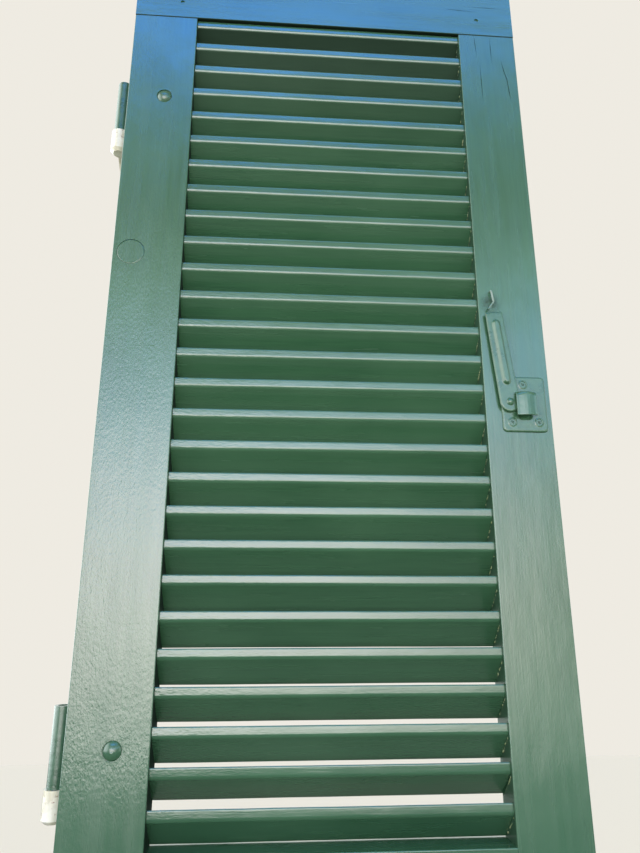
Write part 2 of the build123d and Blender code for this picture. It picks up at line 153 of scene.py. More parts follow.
# %% Colours of the sky
background_colour = (0.86, 0.83, 0.76, 1.0)
ambient_colour = (0.27, 0.27, 0.21, 1.0)
around_colour = (0.92, 1.0, 1.03, 1.0)
band_strength = 6.2
right_blue_strength = 2.6
left_strength = 3.4
right_strength = 1.6
back_strength = 0.9
sky_stops = [
    (-0.42, (0.00, 0.00, 0.00)), (-0.30, (0.08, 0.08, 0.10)), (-0.25, (0.22, 0.22, 0.24)),
    (-0.13, (0.62, 0.60, 0.58)), (-0.06, (0.88, 0.84, 0.80)), (0.01, (1.00, 0.90, 0.90)),
    (0.16, (0.86, 0.85, 0.98)), (0.24, (0.55, 0.62, 0.78)), (0.31, (0.27, 0.40, 0.60)),
    (0.45, (0.11, 0.15, 0.13)), (0.56, (0.02, 0.01, 0.00)), (0.63, (0.01, 0.02, 0.00)),
    (0.68, (0.02, 0.10, 0.26)), (0.72, (0.02, 0.23, 0.98)), (0.78, (0.00, 0.20, 0.95)),
    (0.84, (0.02, 0.08, 0.16))]
right_stops = [
    (0.18, (0.00, 0.00, 0.00)), (0.27, (0.12, 0.30, 0.47)), (0.38, (0.26, 0.58, 1.00)),
    (0.47, (0.12, 0.26, 0.26)), (0.56, (0.00, 0.00, 0.00)), (0.67, (0.02, 0.10, 0.20)),
    (0.74, (0.04, 0.32, 0.90)), (0.84, (0.00, 0.02, 0.05))]
print("sky stops", len(sky_stops), "and on the right", len(right_stops))

# %% [markdown]
# Each light of the sky fills only a part of it. A reach says where along an axis that light
# starts and where it is full.

# %% Reaches of the sky's lights
front_reach = (-0.15, -0.75)
band_right_reach = (0.66, -0.05)
band_left_reach = (-0.60, -0.30)
right_blue_reach = (0.16, 0.38)
left_reach = (-0.50, -0.88)
right_reach = (0.80, 0.97)
back_reach = (0.05, 0.60)


def reach_mask(tree, along, reach, strength=1.0):
    """Rises smoothly from nothing at the start of the reach to the strength at its end."""
    start, full = reach
    made = add_node(tree, "ShaderNodeMapRange",
                    {"From Min": start, "From Max": full, "To Max": strength},
                    interpolation_type="SMOOTHSTEP")
    join(tree, along, made.inputs["Value"])
    return made.outputs["Result"]


def height_ramp(tree, height, stops):
    """Turns the height of a direction into the colours of the stops."""
    low, high = stops[0][0], stops[-1][0]
    rise = add_node(tree, "ShaderNodeMapRange", {"From Min": low, "From Max": high})
    join(tree, height, rise.inputs["Value"])
    ramp = add_node(tree, "ShaderNodeValToRGB")
    while len(ramp.color_ramp.elements) < len(stops):
        ramp.color_ramp.elements.new(0.5)
    for stop, (place, colour) in zip(ramp.color_ramp.elements, stops):
        stop.position = (place - low) / (high - low)
        stop.color = (*colour, 1.0)
    join(tree, rise.outputs["Result"], ramp.inputs["Fac"])
    return ramp.outputs["Color"]


print("front light from", front_reach[0], "full at", front_reach[1])


# %% World
def glow(tree, colour, strength=1.0):
    made = add_node(tree, "ShaderNodeBackground")
    set_or_join(tree, colour, made.inputs["Color"])
    set_or_join(tree, strength, made.inputs["Strength"])
    return made.outputs["Background"]


def add_light(tree, first, second):
    made = add_node(tree, "ShaderNodeAddShader")
    join(tree, first, made.inputs[0])
    join(tree, second, made.inputs[1])
    return made.outputs["Shader"]


def make_sky_light(tree):
    """All the light that the leaf sees: the sky in front, the plainer sides and a faint rest."""
    direction = add_node(tree, "ShaderNodeTexCoord").outputs["Generated"]
    across, depth, height = split(tree, direction)
    in_front = reach_mask(tree, depth, front_reach)
    in_band = product(tree, reach_mask(tree, across, band_right_reach),
                      reach_mask(tree, across, band_left_reach))
    band = glow(tree, height_ramp(tree, height, sky_stops),
                product(tree, in_front, in_band, band_strength))
    on_right = reach_mask(tree, across, right_blue_reach, right_blue_strength)
    right_blue = glow(tree, height_ramp(tree, height, right_stops),
                      product(tree, in_front, on_right))
    around = calculate(tree, "ADD", reach_mask(tree, across, left_reach, left_strength),
                       reach_mask(tree, across, right_reach, right_strength))
    around = calculate(tree, "ADD", around, reach_mask(tree, depth, back_reach, back_strength))
    rest = add_light(tree, glow(tree, around_colour, around), glow(tree, ambient_colour))
    return add_light(tree, add_light(tree, band, right_blue), rest)


def make_world():
    world = bpy.data.worlds.new("Sky")
    bpy.context.scene.world = world
    world.use_nodes = True
    tree = world.node_tree
    tree.nodes.clear()
    rays = add_node(tree, "ShaderNodeLightPath")
    choice = add_node(tree, "ShaderNodeMixShader")
    join(tree, rays.outputs["Is Camera Ray"], choice.inputs[0])
    join(tree, make_sky_light(tree), choice.inputs[1])
    join(tree, glow(tree, background_colour), choice.inputs[2])
    out = add_node(tree, "ShaderNodeOutputWorld")
    join(tree, choice.outputs["Shader"], out.inputs["Surface"])
    return world


world = make_world()
print("world", world.name)

# %% [markdown]
# Two soft lamps shape the forms and are kept out of the gloss. One stands far to the right and
# throws the latch lever's shadow to its left. The other lies low in front and lights the slats'
# undersides.

# %% Lamps
def add_lamp(name, place, target, size, power, colour=(1.0, 1.0, 1.0)):
    data = bpy.data.lights.new(name, "AREA")
    data.energy = power
    data.size = size
    data.color = colour
    made = bpy.data.objects.new(name, data)
    made.location = place
    made.rotation_euler = (Vector(target) - Vector(place)).to_track_quat("-Z", "Y").to_euler()
    made.visible_glossy = False
    made.visible_camera = False
    bpy.context.scene.collection.objects.link(made)
    return made


side_lamp = add_lamp("Side lamp", place=(1.75, -1.25, 0.95), target=(0.45, -0.05, 0.45),
                     size=0.9, power=9.0)
low_lamp = add_lamp("Low lamp", place=(0.27, -0.64, 0.33), target=(0.28, -0.05, 0.50),
                    size=0.5, power=1.9, colour=(1.0, 0.95, 0.62))
print("lamps", side_lamp.name, "and", low_lamp.name)

# %% [markdown]
# The floor is a plain pale sheet well below the leaf. To the camera it is nearly as pale as the
# background and still takes the leaf's shadow. To the paint it is darker, because a pale floor
# would throw too much light up at the slats.

# %% Floor
floor_place = (0.28, 0.0, -0.60)
floor_side = 6.0
floor_roughness = 0.9
floor_to_paint = (0.12, 0.12, 0.09, 1.0)
floor_to_camera = (0.42, 0.36, 0.28, 1.0)
floor_glow = 0.45


def make_floor():
    bpy.ops.object.select_all(action="DESELECT")
    bpy.ops.mesh.primitive_plane_add(size=floor_side, location=floor_place)
    made = bpy.context.active_object
    made.name = "Floor"
    material = bpy.data.materials.new("Pale floor")
    material.use_nodes = True
    tree = material.node_tree
    shader = tree.nodes["Principled BSDF"]
    shader.inputs["Roughness"].default_value = floor_roughness
    shader.inputs["Emission Color"].default_value = background_colour
    to_camera = add_node(tree, "ShaderNodeLightPath").outputs["Is Camera Ray"]
    join(tree, blend_colours(tree, to_camera, floor_to_paint, floor_to_camera),
         shader.inputs["Base Color"])
    join(tree, product(tree, to_camera, floor_glow), shader.inputs["Emission Strength"])
    made.data.materials.append(material)
    return made


floor = make_floor()
floor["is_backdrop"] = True
print("floor at", floor_place)

# %% [markdown]
# The paint. Several coats of green lie over pine, so the grain still shows as long shallow
# streaks, and the film has a fine peel and slow waves of its own. The grain runs along the
# stiles and along the rails and slats, so the same finish is made twice with the grain
# turned. The pattern reads Object coordinates, which are the same as the row frame's metres.

# %% Paint helpers
paint_dark = (0.026, 0.082, 0.042, 1.0)
paint_mid = (0.034, 0.100, 0.051, 1.0)
paint_light = (0.042, 0.112, 0.060, 1.0)


def new_material(name):
    material = bpy.data.materials.new(name)
    material.use_nodes = True
    material.node_tree.nodes.clear()
    return material, material.node_tree


def principled(tree, **sockets):
    shader = add_node(tree, "ShaderNodeBsdfPrincipled")
    for name, value in sockets.items():
        shader.inputs[name.replace("_", " ")].default_value = value
    out = add_node(tree, "ShaderNodeOutputMaterial")
    join(tree, shader.outputs["BSDF"], out.inputs["Surface"])
    return shader


def noise(tree, place, scale, detail=3.0, roughness=0.5, stretch=(1, 1, 1), distortion=0.0):
    """A noise of the given scale per metre, drawn out along an axis that has a small factor."""
    turn = add_node(tree, "ShaderNodeMapping", {"Scale": stretch})
    join(tree, place, turn.inputs["Vector"])
    made = add_node(tree, "ShaderNodeTexNoise", {"Scale": scale, "Detail": detail,
                                                 "Roughness": roughness, "Distortion": distortion})
    join(tree, turn.outputs["Vector"], made.inputs["Vector"])
    return made.outputs["Fac"]


def remap(tree, value, low, high, to_low=0.0, to_high=1.0):
    made = add_node(tree, "ShaderNodeMapRange", {"From Min": low, "From Max": high,
                                                 "To Min": to_low, "To Max": to_high})
    join(tree, value, made.inputs["Value"])
    return made.outputs["Result"]


def bump(tree, height, distance, below=None):
    made = add_node(tree, "ShaderNodeBump", {"Strength": 1.0, "Distance": distance})
    join(tree, height, made.inputs["Height"])
    if below is not None:
        join(tree, below, made.inputs["Normal"])
    return made.outputs["Normal"]


print("paint helpers ready")

# %% [markdown]
# Some places are painted darker and duller. On the stiles' inner faces, on the top rail's
# underside and on the highest slats' undersides the darkness is painted shade, where little
# light gets in. The joint under the top rail is a dark line, and the paint near the bent nail
# is rubbed. One mask by place finds them all, which is simpler than painting each piece. Each
# pair below says where a mark starts and where it is full.

# %% Painted shade, the dark joint and rubbed paint
# Painted shade and dirt: this near-black green darkens the stiles' inner faces, the rail's underside
# and the top slats' undersides, where shade falls, and also colours the dark joint and the rubbed
# patch.
painted_shade_and_dirt = (0.004, 0.010, 0.005, 1.0)
inner_face_y = (-0.0695, -0.0675)
hinge_side_x = (0.0861, 0.0868)
meeting_side_x = (0.4750, 0.4742)
# Painted shade on the stiles' inner faces, where the slats keep the light out; less of it towards
# the meeting stile.
inner_face_painted_shade = 0.92
thinner_shade_x = (0.40, 0.46)
joint_height = 1.0303
joint_near = (0.0013, 0.0009)
joint_dirt = 0.85
# Painted shade on the top rail's underside, the dark gap above the first slat.
rail_underside_y = (-0.0690, -0.0680)
rail_underside_near = (0.0006, 0.0003)
rail_underside_painted_shade = 0.95
# Painted shade: the undersides of the highest slats get darker towards the top rail, where less
# light reaches them.
top_slats_shade_y = (-0.0648, -0.0635)
top_slats_shade_z = (0.80, 1.02)
top_slats_painted_shade = 0.80
scuff_place = (0.490, -0.0700, 0.587)
scuff_reach = (0.017, 0.005)
scuff_dirt = 0.6


def shade_and_marks_mask(tree, place, inner):
    """Nought on sound paint, more on painted shade, the dark joint and rubbed paint.
    The slats have no inner faces: inner 0.
    """
    across, depth, height = split(tree, place)
    # Painted shade on the stiles' inner faces between the slats.
    faces = product(tree, remap(tree, depth, *inner_face_y), remap(tree, across, *hinge_side_x),
                    remap(tree, across, *meeting_side_x),
                    remap(tree, across, *thinner_shade_x, 1.0, 0.55))
    shade_and_marks = remap(tree, faces, 0.0, 1.0, 0.0, inner_face_painted_shade * inner)
    from_joint = calculate(tree, "SUBTRACT", height, joint_height)
    from_joint = calculate(tree, "ABSOLUTE", from_joint, 0.0)
    joint_line = remap(tree, from_joint, *joint_near, 0.0, joint_dirt)
    # Painted shade under the top rail.
    rail_shade = product(tree, remap(tree, depth, *rail_underside_y), rail_underside_painted_shade,
                             remap(tree, from_joint, *rail_underside_near))
    # Painted shade on the highest slats' undersides.
    top_slats_shade = product(tree, remap(tree, depth, *top_slats_shade_y),
                        remap(tree, height, *top_slats_shade_z, 0.0, top_slats_painted_shade))
    away = add_node(tree, "ShaderNodeVectorMath", {1: scuff_place}, operation="DISTANCE")
    join(tree, place, away.inputs[0])
    rubbed = remap(tree, noise(tree, place, 260.0, 4.0, 0.6), 0.36, 0.56, 0.25, 1.0)
    scuff = product(tree, remap(tree, away.outputs["Value"], *scuff_reach), rubbed, scuff_dirt)
    for mark in (joint_line, rail_shade, top_slats_shade, scuff):
        shade_and_marks = calculate(tree, "MAXIMUM", shade_and_marks, mark)
    return shade_and_marks


print("joint under the top rail at", joint_height)

# %% [markdown]
# The wood's paint is one material made twice. Streaks, slow waves and peel are shallow bumps
# in the film and need no shape of their own. The peel is deep low on the hinge side, where the
# paint is thickest.

# %% Painted wood
peel_x = (0.24, 0.04)
peel_z = (0.90, 0.45)
peel_foot_z = (-0.02, 0.05)
peel_left_over_right = 0.25
peel_left_over_above = 0.35


def peel_depth(tree, place):
    """The peel is deepest low on the hinge side, and fades to the right, upwards and at the foot."""
    across, _, height = split(tree, place)
    return product(tree, remap(tree, across, *peel_x, peel_left_over_right, 1.0),
                   remap(tree, height, *peel_z, peel_left_over_above, 1.0),
                   remap(tree, height, *peel_foot_z, peel_left_over_above, 1.0))


def drawn_out(along, factor):
    return [factor if axis == along else 1.0 for axis in "XYZ"]


def make_painted_wood(name, along, peel=0.00030, grain=0.00010, inner=1.0):
    """Gloss paint over wood, with its grain along one axis."""
    material, tree = new_material(name)
    shader = principled(tree, Specular_IOR_Level=0.8, Coat_Weight=0.75, Coat_Roughness=0.10,
                        Coat_IOR=1.5)
    place = add_node(tree, "ShaderNodeTexCoord").outputs["Object"]
    streaks = noise(tree, place, 420.0, 5.0, 0.62, drawn_out(along, 0.035), 0.4)
    broad = noise(tree, place, 90.0, stretch=drawn_out(along, 0.06))
    fine = noise(tree, place, 480.0, stretch=drawn_out(along, 0.5))
    waves = noise(tree, place, 34.0, 2.0, stretch=drawn_out(along, 0.45))
    patches = noise(tree, place, 6.0)
    shade_and_marks = shade_and_marks_mask(tree, place, inner)
    colour = blend_colours(tree, remap(tree, streaks, 0.35, 0.65), paint_dark, paint_mid)
    colour = blend_colours(tree, remap(tree, patches, 0.42, 0.70), colour, paint_light)
    # Painted shade and marks: the mask darkens the paint and makes it duller.
    colour = blend_colours(tree, shade_and_marks, colour, painted_shade_and_dirt)
    join(tree, colour, shader.inputs["Base Color"])
    rough = remap(tree, broad, 0.3, 0.7, 0.20, 0.30)
    join(tree, calculate(tree, "MAXIMUM", rough, shade_and_marks), shader.inputs["Roughness"])
    join(tree, remap(tree, shade_and_marks, 0.0, 0.9, 0.75, 0.0), shader.inputs["Coat Weight"])
    join(tree, remap(tree, shade_and_marks, 0.0, 0.9, 0.8, 0.2), shader.inputs["Specular IOR Level"])
    normal = bump(tree, waves, 0.0006)
    normal = bump(tree, broad, grain, normal)
    normal = bump(tree, streaks, grain, normal)
    normal = bump(tree, product(tree, fine, peel_depth(tree, place)), peel, normal)
    join(tree, normal, shader.inputs["Normal"])
    join(tree, normal, shader.inputs["Coat Normal"])
    return material


upright_paint = make_painted_wood("Paint on upright wood", "Z")
level_paint = make_painted_wood("Paint on level wood", "X", peel=0.00042, inner=0.0)
print("painted wood", upright_paint.name, level_paint.name)

# %% [markdown]
# The iron fittings carry the same paint on a smooth ground, so it lies thicker and glossier.
# The pintles are painted cream, and rust has come through in spots. The bent nail's paint is
# worn, and the beads that the brush left at the slat ends are a lighter, yellower green.

# %% Painted metal
rust_colour = (0.22, 0.075, 0.025, 1.0)


def make_painted_metal(name, dark, light, rust=0.0):
    material, tree = new_material(name)
    shader = principled(tree, Specular_IOR_Level=0.75, Coat_Weight=0.6, Coat_Roughness=0.12,
                        Coat_IOR=1.5)
    place = add_node(tree, "ShaderNodeTexCoord").outputs["Object"]
    patches = noise(tree, place, 70.0, 4.0)
    fine = noise(tree, place, 700.0, 2.0)
    waves = noise(tree, place, 130.0, 2.0)
    colour = blend_colours(tree, remap(tree, patches, 0.35, 0.65), dark, light)
    if rust:
        spots = noise(tree, place, 210.0, 6.0, 0.7)
        colour = blend_colours(tree, remap(tree, spots, 0.62 - rust, 0.70 - rust), colour,
                               rust_colour)
    join(tree, colour, shader.inputs["Base Color"])
    join(tree, remap(tree, patches, 0.3, 0.7, 0.24, 0.36), shader.inputs["Roughness"])
    normal = bump(tree, waves, 0.00025)
    normal = bump(tree, fine, 0.00006, normal)
    join(tree, normal, shader.inputs["Normal"])
    join(tree, normal, shader.inputs["Coat Normal"])
    return material


metal_paint = make_painted_metal("Paint on iron", paint_dark, paint_light)
bead_paint = make_painted_metal("Beads of paint", (0.10, 0.16, 0.07, 1.0), (0.28, 0.30, 0.15, 1.0))
keeper_paint = make_painted_metal("Worn paint on wire", (0.07, 0.13, 0.09, 1.0),
                                  (0.26, 0.31, 0.27, 1.0))
cream_paint = make_painted_metal("Cream paint on iron", (0.62, 0.56, 0.42, 1.0),
                                 (0.80, 0.76, 0.64, 1.0), rust=0.02)
print("painted metal", metal_paint.name, cream_paint.name)

# %% [markdown]
# The pins are bare greased steel, brushed round by years of turning.

# %% Bare steel
steel_bright = (0.42, 0.41, 0.39, 1.0)
steel_stained = (0.16, 0.12, 0.09, 1.0)


def make_steel():
    material, tree = new_material("Greased steel")
    shader = principled(tree, Metallic=1.0)
    place = add_node(tree, "ShaderNodeTexCoord").outputs["Object"]
    rings = noise(tree, place, 900.0, stretch=(0.1, 0.1, 1.0))
    stain = noise(tree, place, 160.0, 4.0)
    colour = blend_colours(tree, remap(tree, stain, 0.4, 0.65), steel_bright, steel_stained)
    join(tree, colour, shader.inputs["Base Color"])
    join(tree, remap(tree, stain, 0.3, 0.7, 0.28, 0.55), shader.inputs["Roughness"])
    join(tree, bump(tree, rings, 0.00004), shader.inputs["Normal"])
    return material


steel = make_steel()
print("bare metal", steel.name)

# %% [markdown]
# Modelling by hand needs the same few moves again and again: make one piece the active one,
# choose some of its points in edit mode, and apply a modifier. These helpers do just that.

# %% Modelling helpers
same_place = 1e-5
a_little = 1e-4
facing = 0.9


def work_on(piece):
    bpy.ops.object.select_all(action="DESELECT")
    piece.select_set(True)
    bpy.context.view_layer.objects.active = piece


def choose(piece, kind, wanted):
    """Opens the piece in edit mode with its wanted vertices, edges or faces selected."""
    work_on(piece)
    bpy.ops.object.mode_set(mode="EDIT")
    bpy.ops.mesh.select_mode(type=kind)
    bpy.ops.mesh.select_all(action="DESELECT")
    bpy.ops.object.mode_set(mode="OBJECT")
    mesh = piece.data
    parts = {"VERT": mesh.vertices, "EDGE": mesh.edges, "FACE": mesh.polygons}[kind]
    for part in parts:
        part.select = wanted(part)
    bpy.ops.object.mode_set(mode="EDIT")


def leave_edit():
    bpy.ops.object.mode_set(mode="OBJECT")


def ends(piece, edge):
    return [piece.data.vertices[index].co for index in edge.vertices]


def same(one, other):
    return abs(one - other) < same_place


def add_modifier(piece, kind, **settings):
    work_on(piece)
    made = piece.modifiers.new(kind.title(), kind)
    for name, value in settings.items():
        setattr(made, name, value)
    bpy.ops.object.modifier_apply(modifier=made.name)


def settle(piece):
    """Moves a piece's place, turn and size into its mesh."""
    work_on(piece)
    bpy.ops.object.transform_apply(location=True, rotation=True, scale=True)


def copy_of(piece, name):
    work_on(piece)
    bpy.ops.object.duplicate(linked=False)
    made = bpy.context.active_object
    made.name = name
    return made


def paint_piece(piece, material, body="leaf"):
    piece.data.materials.clear()
    piece.data.materials.append(material)
    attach(piece, body)


print("modelling helpers ready")

# %% [markdown]
# A slat is a board with both long edges cut upright, so that from the side it is a leaning
# parallelogram. Paint has rounded it: gently over the whole nose, more at the lower edge where
# the wet paint hung. A cube gives the board, its rear points are moved down to lean it, and
# each long edge gets its own bevel, because a bevel modifier would round all four alike.

# %% One slat
slat_count = 27
slat_pitch = 0.0396
slat_slope = math.radians(43.3)
slat_thickness = 0.009
length_cuts = 40
corner_rounds = 4
low_rounds = 8

slat_low, slat_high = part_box("slat_01")
slat_length = slat_high.x - slat_low.x
slat_run = slat_high.y - slat_low.y
slat_fall = slat_run * math.tan(slat_slope)
nose_height = slat_thickness / math.cos(slat_slope)
top_radius = 0.0015
low_radius = 0.0062
rear_radius = 0.0006


def tangent(radius, corner):
    """How far from a corner of that many degrees a rounding of that radius starts."""
    return radius / math.tan(math.radians(corner) / 2)


acute_corner = 90 - math.degrees(slat_slope)
blunt_corner = 180 - acute_corner
nose_top = slat_high.z + tangent(top_radius, acute_corner) - top_radius


def round_long_edge(piece, at_y, at_z, radius, corner, steps=corner_rounds):
    """Rounds the long edge that runs along X at that place in the section."""
    def there(edge):
        return all(same(end.y, at_y) and same(end.z, at_z) for end in ends(piece, edge))
    choose(piece, "EDGE", there)
    bpy.ops.mesh.bevel(offset_type="OFFSET", offset=tangent(radius, corner), segments=steps,
                       profile=0.5, affect="EDGES")
    leave_edit()


def make_slat():
    def runs_along(edge):
        one, other = ends(slat, edge)
        return abs(one.x - other.x) > slat_length / 2
    bpy.ops.object.select_all(action="DESELECT")
    bpy.ops.mesh.primitive_cube_add(size=1)
    slat = bpy.context.active_object
    slat.name = "slat_model"
    bpy.ops.transform.resize(value=(slat_length, slat_run, nose_height))
    middle = (slat_low + slat_high) / 2
    bpy.ops.transform.translate(value=(middle.x, middle.y, nose_top - nose_height / 2))
    settle(slat)
    choose(slat, "VERT", lambda vertex: vertex.co.y > middle.y)
    bpy.ops.transform.translate(value=(0, 0, -slat_fall))
    leave_edit()
    front, back = slat_low.y, slat_high.y
    round_long_edge(slat, front, nose_top, top_radius, acute_corner)
    round_long_edge(slat, front, nose_top - nose_height, low_radius, blunt_corner, low_rounds)
    round_long_edge(slat, back, nose_top - slat_fall, top_radius, blunt_corner)
    round_long_edge(slat, back, nose_top - nose_height - slat_fall, rear_radius, acute_corner)
    choose(slat, "EDGE", runs_along)
    bpy.ops.mesh.subdivide(number_cuts=length_cuts)
    leave_edit()
    return slat


slat_model = make_slat()
print("one slat", len(slat_model.data.polygons), "faces")

# %% [markdown]
# The slat is copied, and every copy gets its own slight twist and waviness, because no two
# slats on an old shutter lie quite alike. Some of the lowest have moved more, which the strips
# of light between them show. Those are turned by the degrees that lifted_rear lists.

# %% Copy the slat
slat_seed = 11
slat_twist = 0.35
slat_wave = 0.0007
slat_wave_length = 0.11
smooth_below = math.radians(35)
lifted_rear = {21: -0.5, 22: -1.1, 23: 1.0, 24: -1.8, 25: 3.0}
random.seed(slat_seed)
wave_texture = bpy.data.textures.new("Slow waves", "CLOUDS")
wave_texture.noise_scale = slat_wave_length

for index in range(slat_count):
    name = f"slat_{index + 1:02d}"
    slat = copy_of(slat_model, f"louvre_{index + 1:02d}")
    twist = math.radians(random.uniform(-slat_twist, slat_twist) + lifted_rear.get(index, 0.0))
    bpy.ops.transform.translate(value=(0, 0, -index * slat_pitch))
    settle(slat)
    low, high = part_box(name)
    nose = (0, low.y, high.z)
    bpy.ops.transform.rotate(value=-twist, orient_axis="X", center_override=nose)
    settle(slat)
    add_modifier(slat, "DISPLACE", texture=wave_texture, texture_coords="LOCAL", direction="Z",
                 mid_level=0.5, strength=slat_wave)
    bpy.ops.object.shade_smooth_by_angle(angle=smooth_below)
    add_modifier(slat, "WEIGHTED_NORMAL", mode="FACE_AREA", weight=100, keep_sharp=True)
    paint_piece(slat, level_paint)
    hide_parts(name)
bpy.data.objects.remove(slat_model)
print("slats", slat_count)

# %% [markdown]
# The latch is thin pressed iron under many coats, so no edge on it is sharp any more. Each part
# is put together from plain blocks and rounds. A remesh joins the blocks into one skin, and a
# smoothing lets the skin flow over the edges as paint does.

# %% Blocks and rounds
def block(name, low, high):
    bpy.ops.object.select_all(action="DESELECT")
    bpy.ops.mesh.primitive_cube_add(size=1, location=[(a + b) / 2 for a, b in zip(low, high)])
    made = bpy.context.active_object
    made.name = name
    bpy.ops.transform.resize(value=[b - a for a, b in zip(low, high)])
    settle(made)
    return made


def round_bar(name, centre, radius, near, far, sides=48, far_radius=None):
    """A round that runs from near to far along the depth, a cone when the far radius differs."""
    end_radius = radius if far_radius is None else far_radius
    turn = math.pi / 2 if far < near else -math.pi / 2
    middle = (centre[0], (near + far) / 2, centre[1])
    bpy.ops.object.select_all(action="DESELECT")
    bpy.ops.mesh.primitive_cone_add(vertices=sides, radius1=radius, radius2=end_radius,
                                    depth=abs(far - near), location=middle, rotation=(turn, 0, 0))
    made = bpy.context.active_object
    made.name = name
    settle(made)
    return made


def join_pieces(first, *others):
    bpy.ops.object.select_all(action="DESELECT")
    for piece in (first, *others):
        piece.select_set(True)
    bpy.context.view_layer.objects.active = first
    bpy.ops.object.join()
    return first


def cut_away(piece, tool):
    add_modifier(piece, "BOOLEAN", object=tool, operation="DIFFERENCE", solver="EXACT")
    bpy.data.objects.remove(tool)


def flow_paint(piece, film, passes):
    """Joins the blocks of a piece into one skin and softens it, like coats of paint."""
    add_modifier(piece, "REMESH", mode="VOXEL", voxel_size=film)
    add_modifier(piece, "SMOOTH", factor=0.5, iterations=passes)
    work_on(piece)
    bpy.ops.object.shade_smooth()


def round_corners(piece, wanted, radius, steps=5):
    choose(piece, "EDGE", wanted)
    bpy.ops.mesh.bevel(offset_type="OFFSET", offset=radius, segments=steps, affect="EDGES")
    leave_edit()


def along_depth(piece):
    def wanted(edge):
        one, other = ends(piece, edge)
        return abs(one.y - other.y) > a_little and same(one.x, other.x) and same(one.z, other.z)
    return wanted


def front_rim(piece, front):
    return lambda edge: all(end.y < front + same_place for end in ends(piece, edge))


print("blocks and rounds ready")

# %% [markdown]
# The latch lever is a pressed strip with a round eye for its rivet and a rib that stiffens it.
# At rest it stands up from the rivet and leans a little to the left under the bent nail. It is
# modelled upright, where its blocks are easy to measure, and turned about the rivet at the end.

# %% Latch lever
leaf_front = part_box("meeting_stile")[0].y
rivet_low, rivet_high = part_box("latch_rivet")
rivet_x, rivet_z = (rivet_low.x + rivet_high.x) / 2, (rivet_low.z + rivet_high.z) / 2
lever_stand = 0.0042
lever_thickness = 0.0025
lever_back = leaf_front - lever_stand
lever_front = lever_back - lever_thickness
lever_length = 0.123
lever_tilt = 5.8
eye_radius = 0.013
tip_half = 0.0115
tip_corner = 0.0028
rib_half = 0.0062
rib_from, rib_to = 0.022, 0.112
rib_height = 0.0034
rib_sink = 0.001
rib_end_radius = rib_half * 0.98
rib_end_steps = 8
rib_top_scale = (0.45, 1, 0.93)
rolled_edge = 0.0019
rolled_steps = 3
eye_sides = 72
rivet_bore = 0.0032
tool_reach = 0.002
film = 0.00045
film_passes = 4


def make_blade():
    tip = rivet_z + lever_length

    def at_tip(edge):
        return along_depth(blade)(edge) and ends(blade, edge)[0].z > tip - a_little
    blade = block("blade", (rivet_x - eye_radius, lever_front, rivet_z),
                  (rivet_x + eye_radius, lever_back, tip))
    choose(blade, "VERT", lambda vertex: vertex.co.z > rivet_z + lever_length / 2)
    bpy.ops.transform.resize(value=(tip_half / eye_radius, 1, 1), center_override=(rivet_x, 0, 0))
    leave_edit()
    round_corners(blade, at_tip, tip_corner)
    round_corners(blade, front_rim(blade, lever_front), rolled_edge, rolled_steps)
    return blade


def make_rib():
    rib = block("rib", (rivet_x - rib_half, lever_front - rib_height, rivet_z + rib_from),
                (rivet_x + rib_half, lever_front + rib_sink, rivet_z + rib_to))
    round_corners(rib, along_depth(rib), rib_end_radius, rib_end_steps)
    choose(rib, "VERT", lambda vertex: vertex.co.y < lever_front - rib_height / 2)
    middle = (rivet_x, 0, rivet_z + (rib_from + rib_to) / 2)
    bpy.ops.transform.resize(value=rib_top_scale, center_override=middle)
    leave_edit()
    return rib


def make_lever():
    eye = round_bar("lever", (rivet_x, rivet_z), eye_radius, lever_back, lever_front, eye_sides)
    round_corners(eye, front_rim(eye, lever_front), rolled_edge, rolled_steps)
    blade = make_blade()
    lever = join_pieces(eye, blade, make_rib())
    flow_paint(lever, film, film_passes)
    cut_away(lever, round_bar("bore", (rivet_x, rivet_z), rivet_bore,
                              lever_back + tool_reach, lever_front - tool_reach))
    work_on(lever)
    bpy.ops.transform.rotate(value=math.radians(lever_tilt), orient_axis="Y",
                             center_override=(rivet_x, 0, rivet_z))
    settle(lever)
    return lever


lever = make_lever()
lever.name = "painted_lever"
paint_piece(lever, metal_paint, "latch_lever")
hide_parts("latch_lever")
print("lever", len(lever.data.polygons), "faces")

# %% [markdown]
# The plate is pressed from one sheet. Its hood is a tongue of that sheet, pushed forward over
# the opening it leaves and joined to the plate only at its top. The hood is modelled as an
# open shell and given the sheet's thickness afterwards, which keeps its inside as round as its
# outside.

# %% Latch plate sizes
plate_thickness = 0.0025
plate_front = leaf_front - plate_thickness
plate_low, plate_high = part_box("latch_plate")
screw_low, screw_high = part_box("latch_screws")
plate_x = (screw_low.x + screw_high.x) / 2
screw_end = screw_high.y
screw_radius = 0.0042
screw_places = [(plate_x, screw_high.z - screw_radius),
                (screw_low.x + screw_radius, screw_low.z + screw_radius),
                (screw_high.x - screw_radius, screw_low.z + screw_radius)]
plate_corner = 0.006
plate_edge = 0.0022
plate_skin = 0.0001
sink_radius = 0.0043
sink_end_radius = 0.0021
ring_radius = 0.0047
ring_thickness = 0.0006
round_sides = 40
hood_top = 0.4623
hood_fall = 0.031
hood_stand = 0.0092
hood_half = 0.0128
root_half = 0.0093
hood_root = 0.0012
hood_bend = 0.0055
hood_bend_steps = 6
hood_cuts = 7
hood_roundness = 0.6
hood_round_radius = 0.0125
hood_margin = 0.001
window_half = 0.0085
window_fall = 0.0345
window_drop = 0.003
window_corner = 0.004
iron = 0.002
print("plate front at", plate_front, "screws at", screw_places)


